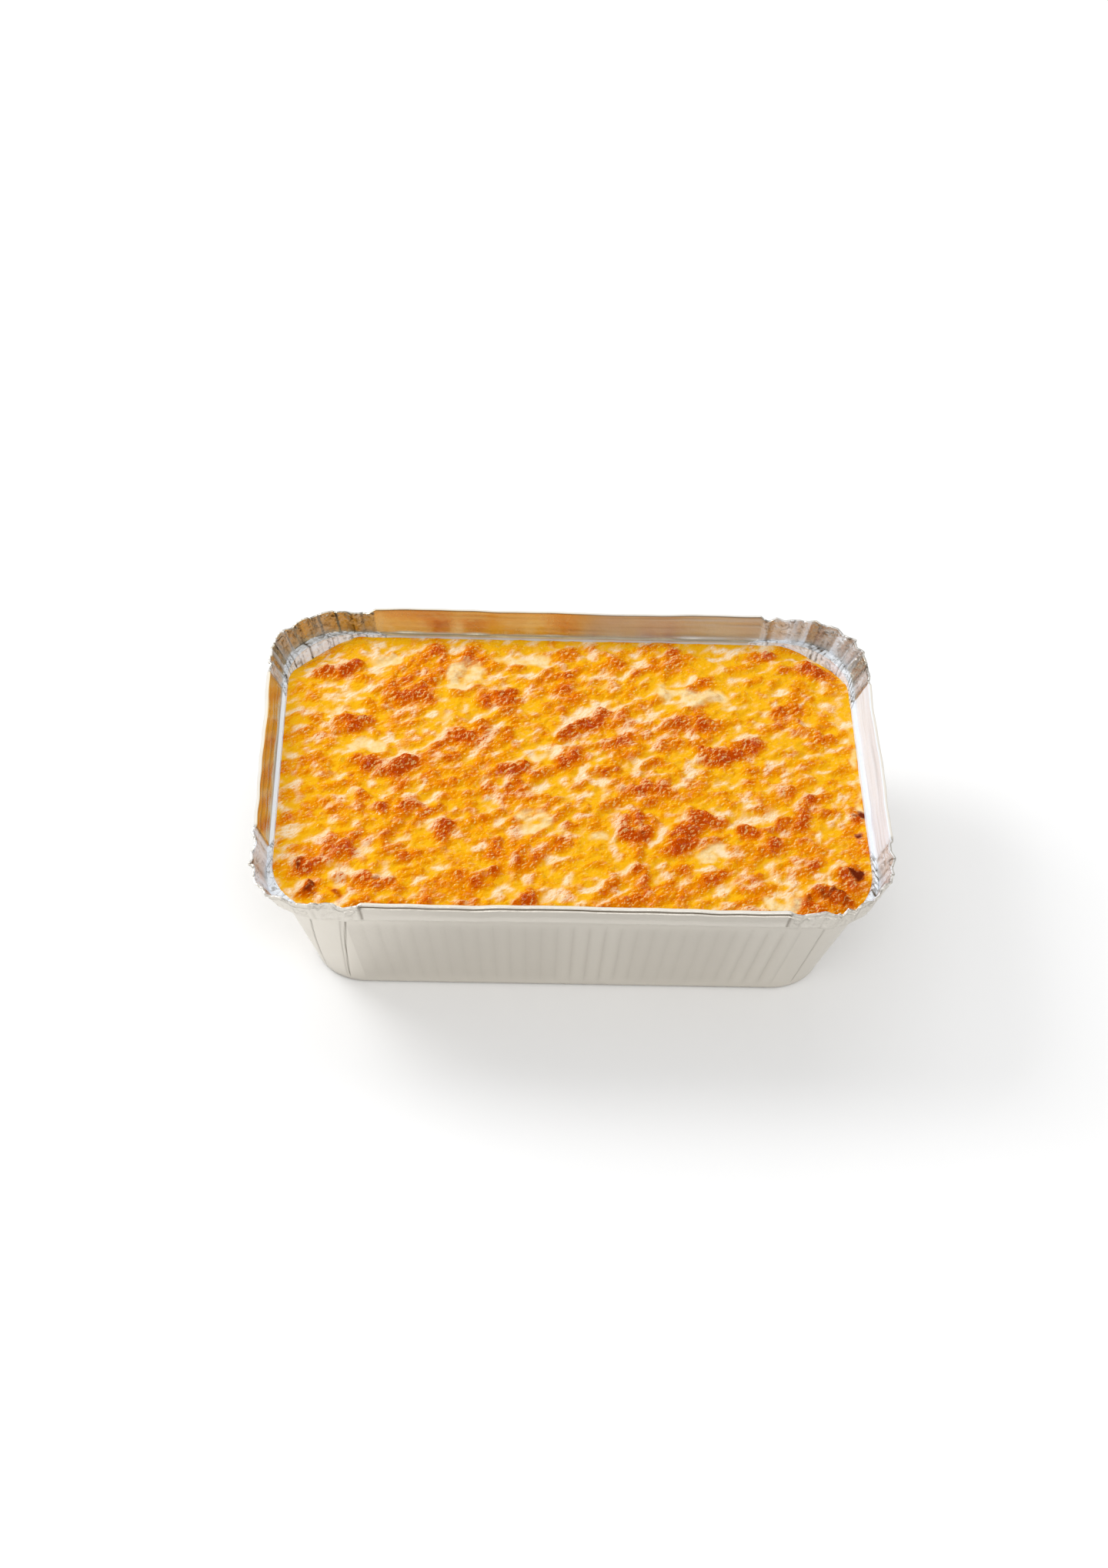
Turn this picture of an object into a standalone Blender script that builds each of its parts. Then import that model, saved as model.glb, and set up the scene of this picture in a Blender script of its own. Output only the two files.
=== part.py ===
"""Foil tray meal: a baked dish with a browned cheese crust, in its own aluminium foil tray.

Run with: blender --background --python part.py

Metres, +Z up. The origin is the middle of the tray's flat underside. X runs along the tray's
length and Y across it, with the side that faces the viewer at -Y.
"""

import math
import random

import bmesh
import bpy
import numpy as np

MM = 0.001

# The tray's driving dimensions
RIM_LENGTH = 185 * MM
RIM_WIDTH = 132 * MM
TRAY_HEIGHT = 47 * MM
LEDGE_HEIGHT = 39 * MM  # top of the narrow ledge that a board lid lies on
LEDGE_WIDTH = 2.4 * MM
FOIL = 0.5 * MM  # stands in for real foil of about 0.1 mm
BASE_LENGTH = 149 * MM
BASE_WIDTH = 101.4 * MM
LEAN_ENDS = 3.3 * MM  # how far the standing rim leans out over its height, at the two ends
LEAN_SIDES = 1.5 * MM  # the same, along the two long sides
RIM_RADIUS = 22 * MM
LEDGE_RADIUS = 19.5 * MM
WALL_RADIUS = 22 * MM  # at the wall's top, so that the ledge is wider round the corners
BASE_RADIUS = 15.5 * MM
FOOT_BEVEL = 1.8 * MM

# The folded hem along the rim's edge
HEM_HEIGHT = 2.6 * MM
HEM_THICKNESS = 0.6 * MM

# The wall's upright ribs
RIB_DEPTH = 0.45 * MM
RIBS_LONG = 28
RIBS_SHORT = 17
RIB_FADE = 4 * MM  # from the wall's top and foot to the full depth of a rib

# The pleated corners, where the rim is gathered
CORNER_STEPS = 14
PLEAT_DEPTH = 0.7 * MM
PLEAT_DROP = 0.7 * MM  # a gathered edge lies this much lower than the folded hem
PLEAT_DIP = 1.4 * MM  # and some of its folds dip by up to this much more
PLEAT_TURN = 0.7  # how often the foil folds back at the next step, for pleats of uneven width
PLEAT_RUN = 9 * MM  # how far the gathers go on past the end of each corner's arc
PLEAT_AT_LEDGE = 0.3  # share of a pleat's depth at the rim's foot
PLEAT_AT_HEM_FOOT = 0.7  # and at the hem's lower edge
PLEAT_SEED = 11
CORNER_BULGES = (1.2 * MM, 0.0, 2 * MM, -0.8 * MM)  # back right, back left, front left, front right

# The meal
MEAL_GAP = 0.4 * MM  # between the meal and the foil, so that the two solids don't touch
MEAL_EDGE = 38.2 * MM  # the crust's level where it meets the foil
MEAL_ALONG = 62  # cells of the crust's grid
MEAL_ACROSS = 42
MEAL_WAIST = 31 * MM  # a level under the crust's lowest edge, where the plain sides begin
DOME = 1.3 * MM
RELIEF_FADE = 5 * MM  # from the foil inwards to the full relief of the crust
UNDULATION = 0.35 * MM
WAVE_X = 9 * MM
WAVE_Y = 8 * MM
WAVE_BEND = 13 * MM
MOUND_FULLNESS = 0.8  # 1 for a parabola across a mound, less for fuller flanks
SHREDS = 80
SHRED_SEED = 5
SHRED_LENGTHS = (9 * MM, 18 * MM)
SHRED_WIDTHS = (3.4 * MM, 5 * MM)
SHRED_HEIGHTS = (0.5 * MM, 1.0 * MM)
SHRED_TURN = 36  # degrees, the way that most shreds lie
SHRED_SPREAD = 26
SHRED_MARGIN = 12 * MM  # from the rim to the nearest shred's middle
BLEND_POWER = 4  # how sharply overlapping mounds and shreds merge

# How far the crust has sunk in each corner: (side in X, side in Y, depth)
CORNER_SINKS = (
    (-1, 1, 3.4 * MM),
    (1, 1, 2.4 * MM),
    (-1, -1, 1.2 * MM),
    (1, -1, 1.4 * MM),
)
SINK_FULL = 6 * MM  # from the foil's corner, the crust lies at its full depth this far
SINK_REACH = 23 * MM  # and is back at its usual level this far

# The crust's larger browned mounds, in millimetres and degrees: (x, y, length, width, turn, height)
MOUNDS = (
    (17, -25, 15, 12, 0, 1.8),
    (41, -19.5, 16, 6, 8, 1.5),
    (29.5, -28, 18, 6.5, 55, 1.6),
    (50, -24, 8, 6, 0, 1.4),
    (-78.5, -40, 7, 6, 20, 1.6),
    (-77, -51.5, 7, 5.5, 0, 1.4),
    (-60.5, -45.5, 19, 7, -12, 1.4),
    (78, -41.5, 9, 6.5, 60, 1.7),
    (73, -50, 10, 5, -35, 1.3),
    (64.5, -53, 8, 6, 0, 1.2),
    (82, -15, 7, 5, 90, 1.2),
    (38.5, -42, 9, 7, 20, 1.2),
    (48, 10, 23, 6.5, 28, 1.6),
    (36, 23.5, 14, 6.5, -15, 1.4),
    (73.5, 22, 13, 5, -50, 1.3),
    (65.5, 31, 11, 7, 0, 1.2),
    (57, 57, 14, 5, 8, 1.2),
    (77.5, 50, 11, 5.5, -40, 1.1),
    (-42.5, 51, 15, 9, 80, 1.3),
    (-72, 46.5, 15, 6, 14, 1.4),
    (-24, 36, 15, 8, 10, 1.1),
    (-50, 33, 14, 6.5, -10, 1.2),
    (-65, 21, 12, 8, 10, 1.3),
    (-32, 17.5, 13, 5.5, -5, 1.3),
    (-58, 3, 21, 7.5, -10, 1.5),
    (-61, -13.5, 15, 7, -30, 1.3),
    (-46.5, -17, 10, 8, 0, 1.3),
    (-39, -24, 8, 7, 0, 1.3),
    (-17, -53, 12, 8, 10, 1.3),
    (-2, 6, 14, 11, 0, 1.4),
    (2, 22, 25, 5.5, 43, 1.3),
    (-19, 0, 12, 6, 35, 1.2),
)

FOIL_COLOUR = (0.72, 0.71, 0.68, 1)
CRUST_COLOUR = (0.86, 0.42, 0.08, 1)


def clear_scene():
    for old in list(bpy.data.objects):
        bpy.data.objects.remove(old)


def material(name, colour, roughness, metallic):
    made = bpy.data.materials.new(name)
    made.use_nodes = True
    shader = made.node_tree.nodes["Principled BSDF"]
    shader.inputs["Base Color"].default_value = colour
    shader.inputs["Roughness"].default_value = roughness
    shader.inputs["Metallic"].default_value = metallic
    return made


def smoothstep(share):
    share = np.clip(share, 0, 1)
    return share * share * (3 - 2 * share)


# Outlines: each level of the tray and of the meal is a rectangle with round corners


def outline(half_x, half_y, radius, z):
    return {"x": half_x, "y": half_y, "r": radius, "z": z}


def wall_outline(z, inset=0.0):
    """The tapered wall's outer face at height z, or a face that lies inset inside it."""
    share = z / (LEDGE_HEIGHT - FOIL)
    top_x = RIM_LENGTH / 2 - LEAN_ENDS - LEDGE_WIDTH + FOIL
    top_y = RIM_WIDTH / 2 - LEAN_SIDES - LEDGE_WIDTH + FOIL
    half_x = BASE_LENGTH / 2 + (top_x - BASE_LENGTH / 2) * share
    half_y = BASE_WIDTH / 2 + (top_y - BASE_WIDTH / 2) * share
    radius = BASE_RADIUS + (WALL_RADIUS - BASE_RADIUS) * share
    return outline(half_x - inset, half_y - inset, radius - inset, z)


def rim_outline(z, inset=0.0):
    """The standing rim's outer face at height z, from the ledge's edge to the top."""
    share = (z - LEDGE_HEIGHT) / (TRAY_HEIGHT - LEDGE_HEIGHT)
    half_x = RIM_LENGTH / 2 - HEM_THICKNESS - LEAN_ENDS * (1 - share)
    half_y = RIM_WIDTH / 2 - HEM_THICKNESS - LEAN_SIDES * (1 - share)
    radius = LEDGE_RADIUS + (RIM_RADIUS - HEM_THICKNESS - LEDGE_RADIUS) * share
    return outline(half_x - inset, half_y - inset, radius - inset, z)


def perimeter_columns():
    """One entry for each upright line of points round the tray.

    corner_x and corner_y are -1 or 1 in a corner and pass between them along a straight side,
    angle is the way the foil faces there, crest is 1 on a rib's crest and bulge is how far the
    rim's corner is bent out.
    """
    columns = []
    sides = (
        (0, RIBS_SHORT, (1, -1), (1, 1)),
        (90, RIBS_LONG, (1, 1), (-1, 1)),
        (180, RIBS_SHORT, (-1, 1), (-1, -1)),
        (270, RIBS_LONG, (-1, -1), (1, -1)),
    )
    for (facing, ribs, start, end), bulge in zip(sides, CORNER_BULGES):
        steps = 2 * ribs
        for step in range(steps):
            share = step / steps
            columns.append(
                {
                    "corner_x": start[0] + (end[0] - start[0]) * share,
                    "corner_y": start[1] + (end[1] - start[1]) * share,
                    "angle": math.radians(facing),
                    "crest": step % 2,
                    "bulge": 0.0,
                }
            )
        for step in range(CORNER_STEPS):
            columns.append(
                {
                    "corner_x": end[0],
                    "corner_y": end[1],
                    "angle": math.radians(facing + 90 * step / CORNER_STEPS),
                    "crest": 0,
                    "bulge": bulge * math.sin(math.pi * step / CORNER_STEPS),
                }
            )
    return columns


def column_point(level, column):
    """(x, y) where an upright column crosses a level."""
    straight_x = level["x"] - level["r"]
    straight_y = level["y"] - level["r"]
    x = column["corner_x"] * straight_x + level["r"] * math.cos(column["angle"])
    y = column["corner_y"] * straight_y + level["r"] * math.sin(column["angle"])
    return x, y


def add_pleats(columns):
    """Gives each column in a gathered corner its own push in or out and its own dip of the rim."""
    draw = random.Random(PLEAT_SEED)
    side = 1
    for column in columns:
        along_x = (1 - abs(column["corner_x"])) * (RIM_LENGTH / 2 - RIM_RADIUS)
        along_y = (1 - abs(column["corner_y"])) * (RIM_WIDTH / 2 - RIM_RADIUS)
        gathered = max(along_x, along_y) < PLEAT_RUN
        if draw.random() < PLEAT_TURN:
            side = -side
        push = side * draw.uniform(0.3, 1) * PLEAT_DEPTH
        # Squared, so that most of the edge stays high and a few folds dip
        dip = PLEAT_DROP + draw.random() ** 2 * PLEAT_DIP
        column["push"] = push + column["bulge"] if gathered else 0.0
        column["dip"] = dip if gathered else 0.0
        column["gathered"] = gathered


# Meshes


def mesh_object(name, bm, look):
    bmesh.ops.recalc_face_normals(bm, faces=bm.faces)
    mesh = bpy.data.meshes.new(name)
    bm.to_mesh(mesh)
    bm.free()
    mesh.materials.append(look)
    made = bpy.data.objects.new(name, mesh)
    bpy.context.scene.collection.objects.link(made)
    return made


def bridge(bm, lower, upper):
    """Joins two closed loops of points that have the same count with a band of faces."""
    count = len(lower)
    for i in range(count):
        j = (i + 1) % count
        bm.faces.new((lower[i], lower[j], upper[j], upper[i]))


def tray_levels():
    """The foil's section, from the middle of the underside up the outside and down the inside.

    Each entry is (outline, how much of a rib shows, how much of a pleat shows, on the hem).
    """
    rim_top = TRAY_HEIGHT
    hem_foot = TRAY_HEIGHT - HEM_HEIGHT
    under_ledge = LEDGE_HEIGHT - FOIL
    wall_top = under_ledge - FOOT_BEVEL
    foot = wall_outline(FOOT_BEVEL)
    base = outline(foot["x"] - FOOT_BEVEL, foot["y"] - FOOT_BEVEL, foot["r"] - FOOT_BEVEL, 0)
    ledge_under = rim_outline(LEDGE_HEIGHT)
    ledge_under["z"] = under_ledge
    hem_low = rim_outline(hem_foot, -HEM_THICKNESS)
    hem_high = rim_outline(rim_top, -HEM_THICKNESS)
    return [
        (base, 0, 0, False),
        (foot, 0, 0, False),
        (wall_outline(FOOT_BEVEL + RIB_FADE), 1, 0, False),
        (wall_outline(wall_top - RIB_FADE), 1, 0, False),
        (wall_outline(under_ledge), 0, 0, False),
        (ledge_under, 0, PLEAT_AT_LEDGE, False),
        (rim_outline(hem_foot), 0, PLEAT_AT_HEM_FOOT, False),
        (hem_low, 0, PLEAT_AT_HEM_FOOT, True),
        (hem_high, 0, 1, True),
        (rim_outline(rim_top, FOIL), 0, 1, False),
        (rim_outline(LEDGE_HEIGHT, FOIL), 0, PLEAT_AT_LEDGE, False),
        (wall_outline(LEDGE_HEIGHT, FOIL), 0, 0, False),
        (wall_outline(FOOT_BEVEL + FOIL, FOIL), 0, 0, False),
        (wall_outline(FOIL, FOIL + FOOT_BEVEL), 0, 0, False),
    ]


def build_tray(look):
    columns = perimeter_columns()
    add_pleats(columns)
    bm = bmesh.new()
    loops = []
    for level, rib, pleat, on_hem in tray_levels():
        loop = []
        for column in columns:
            x, y = column_point(level, column)
            out = RIB_DEPTH * rib * column["crest"] + column["push"] * pleat
            if on_hem and column["gathered"]:
                out -= HEM_THICKNESS / 2
            x += out * math.cos(column["angle"])
            y += out * math.sin(column["angle"])
            z = level["z"] - column["dip"] * pleat
            loop.append(bm.verts.new((x, y, z)))
        loops.append(loop)
    for lower, upper in zip(loops, loops[1:]):
        bridge(bm, lower, upper)
    bm.faces.new(loops[0])
    bm.faces.new(loops[-1])
    tray = mesh_object("tray", bm, look)
    tray.data.shade_smooth()
    tray.data.set_sharp_from_angle(angle=math.radians(25))
    return tray


# The crust


def mound_height(x, y, centre, length, width, turn, height):
    """A long round-topped mound: a capsule that lies half sunk."""
    cos, sin = math.cos(math.radians(turn)), math.sin(math.radians(turn))
    along = (x - centre[0]) * cos + (y - centre[1]) * sin
    across = -(x - centre[0]) * sin + (y - centre[1]) * cos
    over_end = np.maximum(np.abs(along) - (length - width) / 2, 0)
    distance = np.hypot(over_end, across) / (width / 2)
    return height * np.clip(1 - distance**2, 0, 1) ** MOUND_FULLNESS


def shreds():
    """The half melted shreds of cheese that stand out of the crust, by a seeded rule."""
    draw = random.Random(SHRED_SEED)
    half_x = RIM_LENGTH / 2 - SHRED_MARGIN
    half_y = RIM_WIDTH / 2 - SHRED_MARGIN
    made = []
    for _ in range(SHREDS):
        centre = (draw.uniform(-half_x, half_x), draw.uniform(-half_y, half_y))
        length = draw.uniform(*SHRED_LENGTHS)
        width = draw.uniform(*SHRED_WIDTHS)
        turn = draw.gauss(SHRED_TURN, SHRED_SPREAD)
        made.append((centre, length, width, turn, draw.uniform(*SHRED_HEIGHTS)))
    return made


def crust_relief(x, y):
    """Height of the mounds and shreds over the smooth crust."""
    total = np.zeros_like(x)
    for cx, cy, length, width, turn, height in MOUNDS:
        centre = (cx * MM, cy * MM)
        rise = mound_height(x, y, centre, length * MM, width * MM, turn, height * MM)
        total += (rise / MM) ** BLEND_POWER
    for centre, length, width, turn, height in shreds():
        rise = mound_height(x, y, centre, length, width, turn, height)
        total += (rise / MM) ** BLEND_POWER
    waves = np.sin(x / WAVE_X + np.sin(y / WAVE_BEND)) * np.cos(y / WAVE_Y)
    return total ** (1 / BLEND_POWER) * MM + UNDULATION * waves


def crust_sink(x, y):
    """How far the crust lies lower near each corner."""
    sink = np.zeros_like(x)
    corner_x = RIM_LENGTH / 2 - LEAN_ENDS - LEDGE_WIDTH
    corner_y = RIM_WIDTH / 2 - LEAN_SIDES - LEDGE_WIDTH
    for side_x, side_y, depth in CORNER_SINKS:
        away = np.hypot(x - side_x * corner_x, y - side_y * corner_y)
        sink += depth * smoothstep((SINK_REACH - away) / (SINK_REACH - SINK_FULL))
    return sink


def round_corners(x, y, level):
    """Bends the square corners of a grid into the outline's arcs, leaving the rest as it is."""
    radius = level["r"]
    over_x = np.maximum(np.abs(x) - (level["x"] - radius), 0)
    over_y = np.maximum(np.abs(y) - (level["y"] - radius), 0)
    keep_x = np.sqrt(1 - (over_y / radius) ** 2 / 2)
    keep_y = np.sqrt(1 - (over_x / radius) ** 2 / 2)
    return x - np.sign(x) * over_x * (1 - keep_x), y - np.sign(y) * over_y * (1 - keep_y)


def meal_level(z):
    return wall_outline(z, FOIL + MEAL_GAP)


def crust_grid():
    """The crust's points as three grids, x, y and z."""
    u, v = np.meshgrid(
        np.linspace(-1, 1, MEAL_ALONG + 1),
        np.linspace(-1, 1, MEAL_ACROSS + 1),
        indexing="ij",
    )
    flat = meal_level(MEAL_EDGE)
    sink = crust_sink(*round_corners(u * flat["x"], v * flat["y"], flat))
    # The foil tapers, so where the crust has sunk its outline is smaller too
    level = meal_level(MEAL_EDGE - sink)
    x, y = round_corners(u * level["x"], v * level["y"], level)
    from_edge = (1 - np.maximum(np.abs(u), np.abs(v))) * flat["y"]
    inland = smoothstep(from_edge / RELIEF_FADE)
    z = MEAL_EDGE - sink + DOME * (1 - u**2) * (1 - v**2) + crust_relief(x, y) * inland
    return x, y, z


def grid_border(along, across):
    """Grid indices round the border, once, anticlockwise from the corner at -X, -Y."""
    front = [(i, 0) for i in range(along)]
    right = [(along, j) for j in range(across)]
    back = [(i, across) for i in range(along, 0, -1)]
    left = [(0, j) for j in range(across, 0, -1)]
    return front + right + back + left


def build_meal(look):
    x, y, z = crust_grid()
    bm = bmesh.new()
    top = [
        [bm.verts.new((x[i, j], y[i, j], z[i, j])) for j in range(MEAL_ACROSS + 1)]
        for i in range(MEAL_ALONG + 1)
    ]
    for i in range(MEAL_ALONG):
        for j in range(MEAL_ACROSS):
            bm.faces.new((top[i][j], top[i + 1][j], top[i + 1][j + 1], top[i][j + 1]))
    border = grid_border(MEAL_ALONG, MEAL_ACROSS)
    loops = [[top[i][j] for i, j in border]]
    floor = FOIL + MEAL_GAP
    for height, inset in ((MEAL_WAIST, 0), (floor + FOOT_BEVEL, 0), (floor, FOOT_BEVEL)):
        level = wall_outline(height, floor + inset)
        loop = []
        for i, j in border:
            u, v = 2 * i / MEAL_ALONG - 1, 2 * j / MEAL_ACROSS - 1
            px, py = round_corners(np.array(u * level["x"]), np.array(v * level["y"]), level)
            loop.append(bm.verts.new((float(px), float(py), height)))
        loops.append(loop)
    for upper, lower in zip(loops, loops[1:]):
        bridge(bm, lower, upper)
    bm.faces.new(loops[-1])
    meal = mesh_object("meal", bm, look)
    meal.data.shade_smooth()
    meal.data.set_sharp_from_angle(angle=math.radians(50))
    return meal


def main():
    clear_scene()
    build_tray(material("foil", FOIL_COLOUR, 0.3, 1.0))
    build_meal(material("cheese_crust", CRUST_COLOUR, 0.4, 0.0))


main()
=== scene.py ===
"""The foil tray meal's look: fine foil and a browned cheese crust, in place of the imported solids.

Metres in the part's own frame: the origin is the middle of the tray's underside, +X runs along
the tray, +Y away from the viewer and +Z up.
"""

import math
import random

import bpy
import numpy as np
from mathutils import Matrix, Vector


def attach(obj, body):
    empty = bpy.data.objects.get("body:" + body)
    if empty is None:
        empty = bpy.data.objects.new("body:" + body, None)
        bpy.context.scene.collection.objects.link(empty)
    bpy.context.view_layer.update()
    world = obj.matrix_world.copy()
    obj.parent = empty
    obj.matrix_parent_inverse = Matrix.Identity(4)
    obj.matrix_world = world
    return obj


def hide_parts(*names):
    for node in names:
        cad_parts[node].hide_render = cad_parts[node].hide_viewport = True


MM = 0.001
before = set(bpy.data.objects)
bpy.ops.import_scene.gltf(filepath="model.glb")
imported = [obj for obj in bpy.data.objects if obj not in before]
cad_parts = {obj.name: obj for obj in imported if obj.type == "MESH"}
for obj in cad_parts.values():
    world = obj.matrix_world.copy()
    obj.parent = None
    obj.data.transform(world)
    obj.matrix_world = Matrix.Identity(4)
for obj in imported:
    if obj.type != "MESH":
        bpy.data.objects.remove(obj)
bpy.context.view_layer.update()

# The tray's driving dimensions, as in the solids
RIM_LENGTH = 185 * MM
RIM_WIDTH = 132 * MM
TRAY_HEIGHT = 47 * MM
LEDGE_HEIGHT = 39 * MM
LEDGE_WIDTH = 2.4 * MM
FOIL = 0.5 * MM
BASE_LENGTH = 149 * MM
BASE_WIDTH = 101.4 * MM
LEAN_ENDS = 3.3 * MM
LEAN_SIDES = 1.5 * MM
RIM_RADIUS = 22 * MM
LEDGE_RADIUS = 19.5 * MM
WALL_RADIUS = 22 * MM
BASE_RADIUS = 15.5 * MM
FOOT_BEVEL = 1.8 * MM
HEM_THICKNESS = 0.6 * MM
RIB_DEPTH = 0.45 * MM
RIBS_LONG = 28
RIBS_SHORT = 17
RIB_FADE = 4 * MM
CORNER_STEPS = 14
PLEAT_DEPTH = 0.7 * MM
PLEAT_DROP = 0.7 * MM
PLEAT_DIP = 1.4 * MM
PLEAT_TURN = 0.7
PLEAT_RUN = 9 * MM
PLEAT_SEED = 11
# How far the corners bulge out: back right, back left, front left, front right
CORNER_BULGES = (1.2 * MM, 0.0, 2 * MM, -0.8 * MM)

# The foil's finer mesh, and the small folds and dents that the solids leave out
COLUMNS_PER_RIB = 9
CORNER_COLUMNS = 84
FACET_WIDTHS = (2.2 * MM, 7 * MM)
FACET_DIP = 0.45 * MM
FOLD_WIDTH = 0.5 * MM
FOLD_PUSH = 0.55 * MM
FOLD_DIP = 0.3 * MM
WRINKLE_WIDTH = 1.0 * MM
WRINKLE_HEIGHT = 0.22 * MM
WOBBLE_DEPTH = 0.3 * MM
DENT_DEPTH = 0.12 * MM
SHARP_FOLD = 32  # degrees between two faces, over which their edge is drawn sharp
CREASE_HALF_WIDTH = 0.35 * MM
CREASE_DARKEST = 0.35 * MM  # as deep as this, a crease is at its darkest

# Creases up the wall: (turn at the foot, turn at the ledge, depth)
WALL_CREASES = (
    (5.425, 5.71, 0.3 * MM),
    (5.756, 5.973, 0.15 * MM),
    (5.786, 6.016, 0.35 * MM),
    (7.26, 7.2, 0.2 * MM),
    (3.4, 3.45, 0.25 * MM),
    (1.5, 1.45, 0.25 * MM),
)

# The rim's outer face, with the folded flap and the bead over it: (mm over the ledge, pleat, hem)
RIM_RISE = (
    (0.0, 0.3, 0.0),
    (0.9, 0.38, 0.0),
    (1.1, 0.4, 0.9),
    (1.45, 0.42, 0.85),
    (2.0, 0.45, 0.5),
    (3.6, 0.6, 0.45),
    (5.2, 0.72, 0.6),
    (5.8, 0.8, 0.65),
    (6.0, 0.82, 0.1),
    (6.2, 0.85, 0.0),
    (6.8, 0.9, 0.0),
    (7.0, 0.92, 0.1),
    (7.2, 0.95, 0.8),
    (7.45, 1.0, 1.0),
    (7.75, 1.0, 0.95),
    (7.95, 1.0, 0.6),
)

# The crust's form, as in the solids
MEAL_EDGE = 38.2 * MM
DOME = 1.3 * MM
RELIEF_FADE = 5 * MM
UNDULATION = 0.35 * MM
WAVE_X = 9 * MM
WAVE_Y = 8 * MM
WAVE_BEND = 13 * MM
MOUND_FULLNESS = 0.8
SHREDS = 80
SHRED_SEED = 5
SHRED_LENGTHS = (9 * MM, 18 * MM)
SHRED_WIDTHS = (3.4 * MM, 5 * MM)
SHRED_HEIGHTS = (0.5 * MM, 1.0 * MM)
SHRED_TURN = 36
SHRED_SPREAD = 26
SHRED_MARGIN = 12 * MM
BLEND_POWER = 4
CORNER_SINKS = (
    (-1, 1, 3.4 * MM),
    (1, 1, 2.4 * MM),
    (-1, -1, 1.2 * MM),
    (1, -1, 1.4 * MM),
)
SINK_FULL = 6 * MM
SINK_REACH = 23 * MM

# Browned mounds in millimetres and degrees: (x, y, length, width, turn, height, browning)
MOUNDS = (
    (17, -25, 15, 12, 0, 1.8, 1.0),
    (41, -19.5, 16, 6, 8, 1.5, 0.95),
    (29.5, -28, 18, 6.5, 55, 1.6, 0.85),
    (50, -24, 8, 6, 0, 1.4, 0.9),
    (-78.5, -40, 7, 6, 20, 1.6, 1.1),
    (-77, -51.5, 7, 5.5, 0, 1.4, 1.1),
    (-60.5, -45.5, 19, 7, -12, 1.4, 0.95),
    (78, -41.5, 9, 6.5, 60, 1.7, 1.1),
    (73, -50, 10, 5, -35, 1.3, 1.0),
    (64.5, -53, 8, 6, 0, 1.2, 0.95),
    (82, -15, 7, 5, 90, 1.2, 1.0),
    (38.5, -42, 9, 7, 20, 1.2, 0.8),
    (48, 10, 23, 6.5, 28, 1.6, 0.9),
    (36, 23.5, 14, 6.5, -15, 1.4, 0.9),
    (73.5, 22, 13, 5, -50, 1.3, 0.9),
    (65.5, 31, 11, 7, 0, 1.2, 0.8),
    (57, 57, 14, 5, 8, 1.2, 0.85),
    (77.5, 50, 11, 5.5, -40, 1.1, 0.85),
    (-42.5, 51, 15, 9, 80, 1.3, 0.9),
    (-72, 46.5, 15, 6, 14, 1.4, 0.9),
    (-24, 36, 15, 8, 10, 1.1, 0.75),
    (-50, 33, 14, 6.5, -10, 1.2, 0.8),
    (-65, 21, 12, 8, 10, 1.3, 0.8),
    (-32, 17.5, 13, 5.5, -5, 1.3, 0.85),
    (-58, 3, 21, 7.5, -10, 1.5, 0.95),
    (-61, -13.5, 15, 7, -30, 1.3, 0.9),
    (-46.5, -17, 10, 8, 0, 1.3, 0.85),
    (-39, -24, 8, 7, 0, 1.3, 0.9),
    (-17, -53, 12, 8, 10, 1.3, 0.7),
    (-2, 6, 14, 11, 0, 1.4, 0.8),
    (2, 22, 25, 5.5, 43, 1.3, 0.8),
    (-19, 0, 12, 6, 35, 1.2, 0.8),
)

# Pale pools where the sauce shows, in millimetres and degrees: (x, y, length, width, turn)
POOLS = (
    (-32, 42, 17, 13, 20),
    (38, 34.5, 28, 11, -6),
    (-12, -23, 12, 8, 20),
    (6.5, -28, 9, 6, 0),
    (60, -54, 14, 6, 0),
    (40, -35, 14, 5, 15),
    (-60, 10, 14, 6, 15),
    (-58, 50, 14, 7, 0),
    (-15, 52, 20, 5, 0),
    (-10, 8, 10, 5, 30),
    (85, 4, 54, 2, 90),
)

# Spots burnt dark, in millimetres: (x, y, across, darkness)
BURNT = (
    (-79, -40, 5, 1.0),
    (-76, -51.5, 6, 1.0),
    (-70, -52, 4, 0.6),
    (-64, -54.5, 4, 0.55),
    (-53, -56, 3.5, 0.75),
    (79.5, -41, 6.5, 1.0),
    (73, -49.5, 7, 0.8),
    (66, -53, 5, 0.55),
    (83, -14, 5, 0.9),
    (82, -25, 4, 0.7),
    (18, -27, 8, 0.3),
    (50, -24.5, 4, 0.35),
    (75, 19, 4, 0.35),
    (-59, -46, 7, 0.35),
)

# The relief is worked out on a flat map, and the crust's mesh takes its heights from that
MAP_CELL = 0.4 * MM
MAP_HALF_X = 90 * MM
MAP_HALF_Y = 66 * MM
WARP_REACH = 3 * MM
CRUST_ALONG = 342
CRUST_ACROSS = 244
CONTACT = 0.04 * MM  # between the crust and the foil
SOFT_CRUST = 80  # degrees between two faces, up to which their edge is drawn smooth

# The finer pieces of cheese, strewn over a box with these half sides
STREW_X = 0.087
STREW_Y = 0.062
STRANDS = 340
STRAND_LENGTHS = (4 * MM, 9 * MM)
STRAND_WIDTHS = (0.9 * MM, 1.5 * MM)
CURDS = 7000
CURD_LENGTHS = (1.8, 4.2)  # in millimetres
BLISTERS = 9000
BLISTER_RADII = (0.4, 0.8)  # in millimetres

# Small browned spots, in millimetres, and the front row of mounds, which is browned less
SPECKS = 100
SPECK_LENGTHS = (2.5, 8)
SPECK_X = 86
SPECK_Y = 61
FRONT_ROW = -49
FRONT_BROWNING = 0.75

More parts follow.
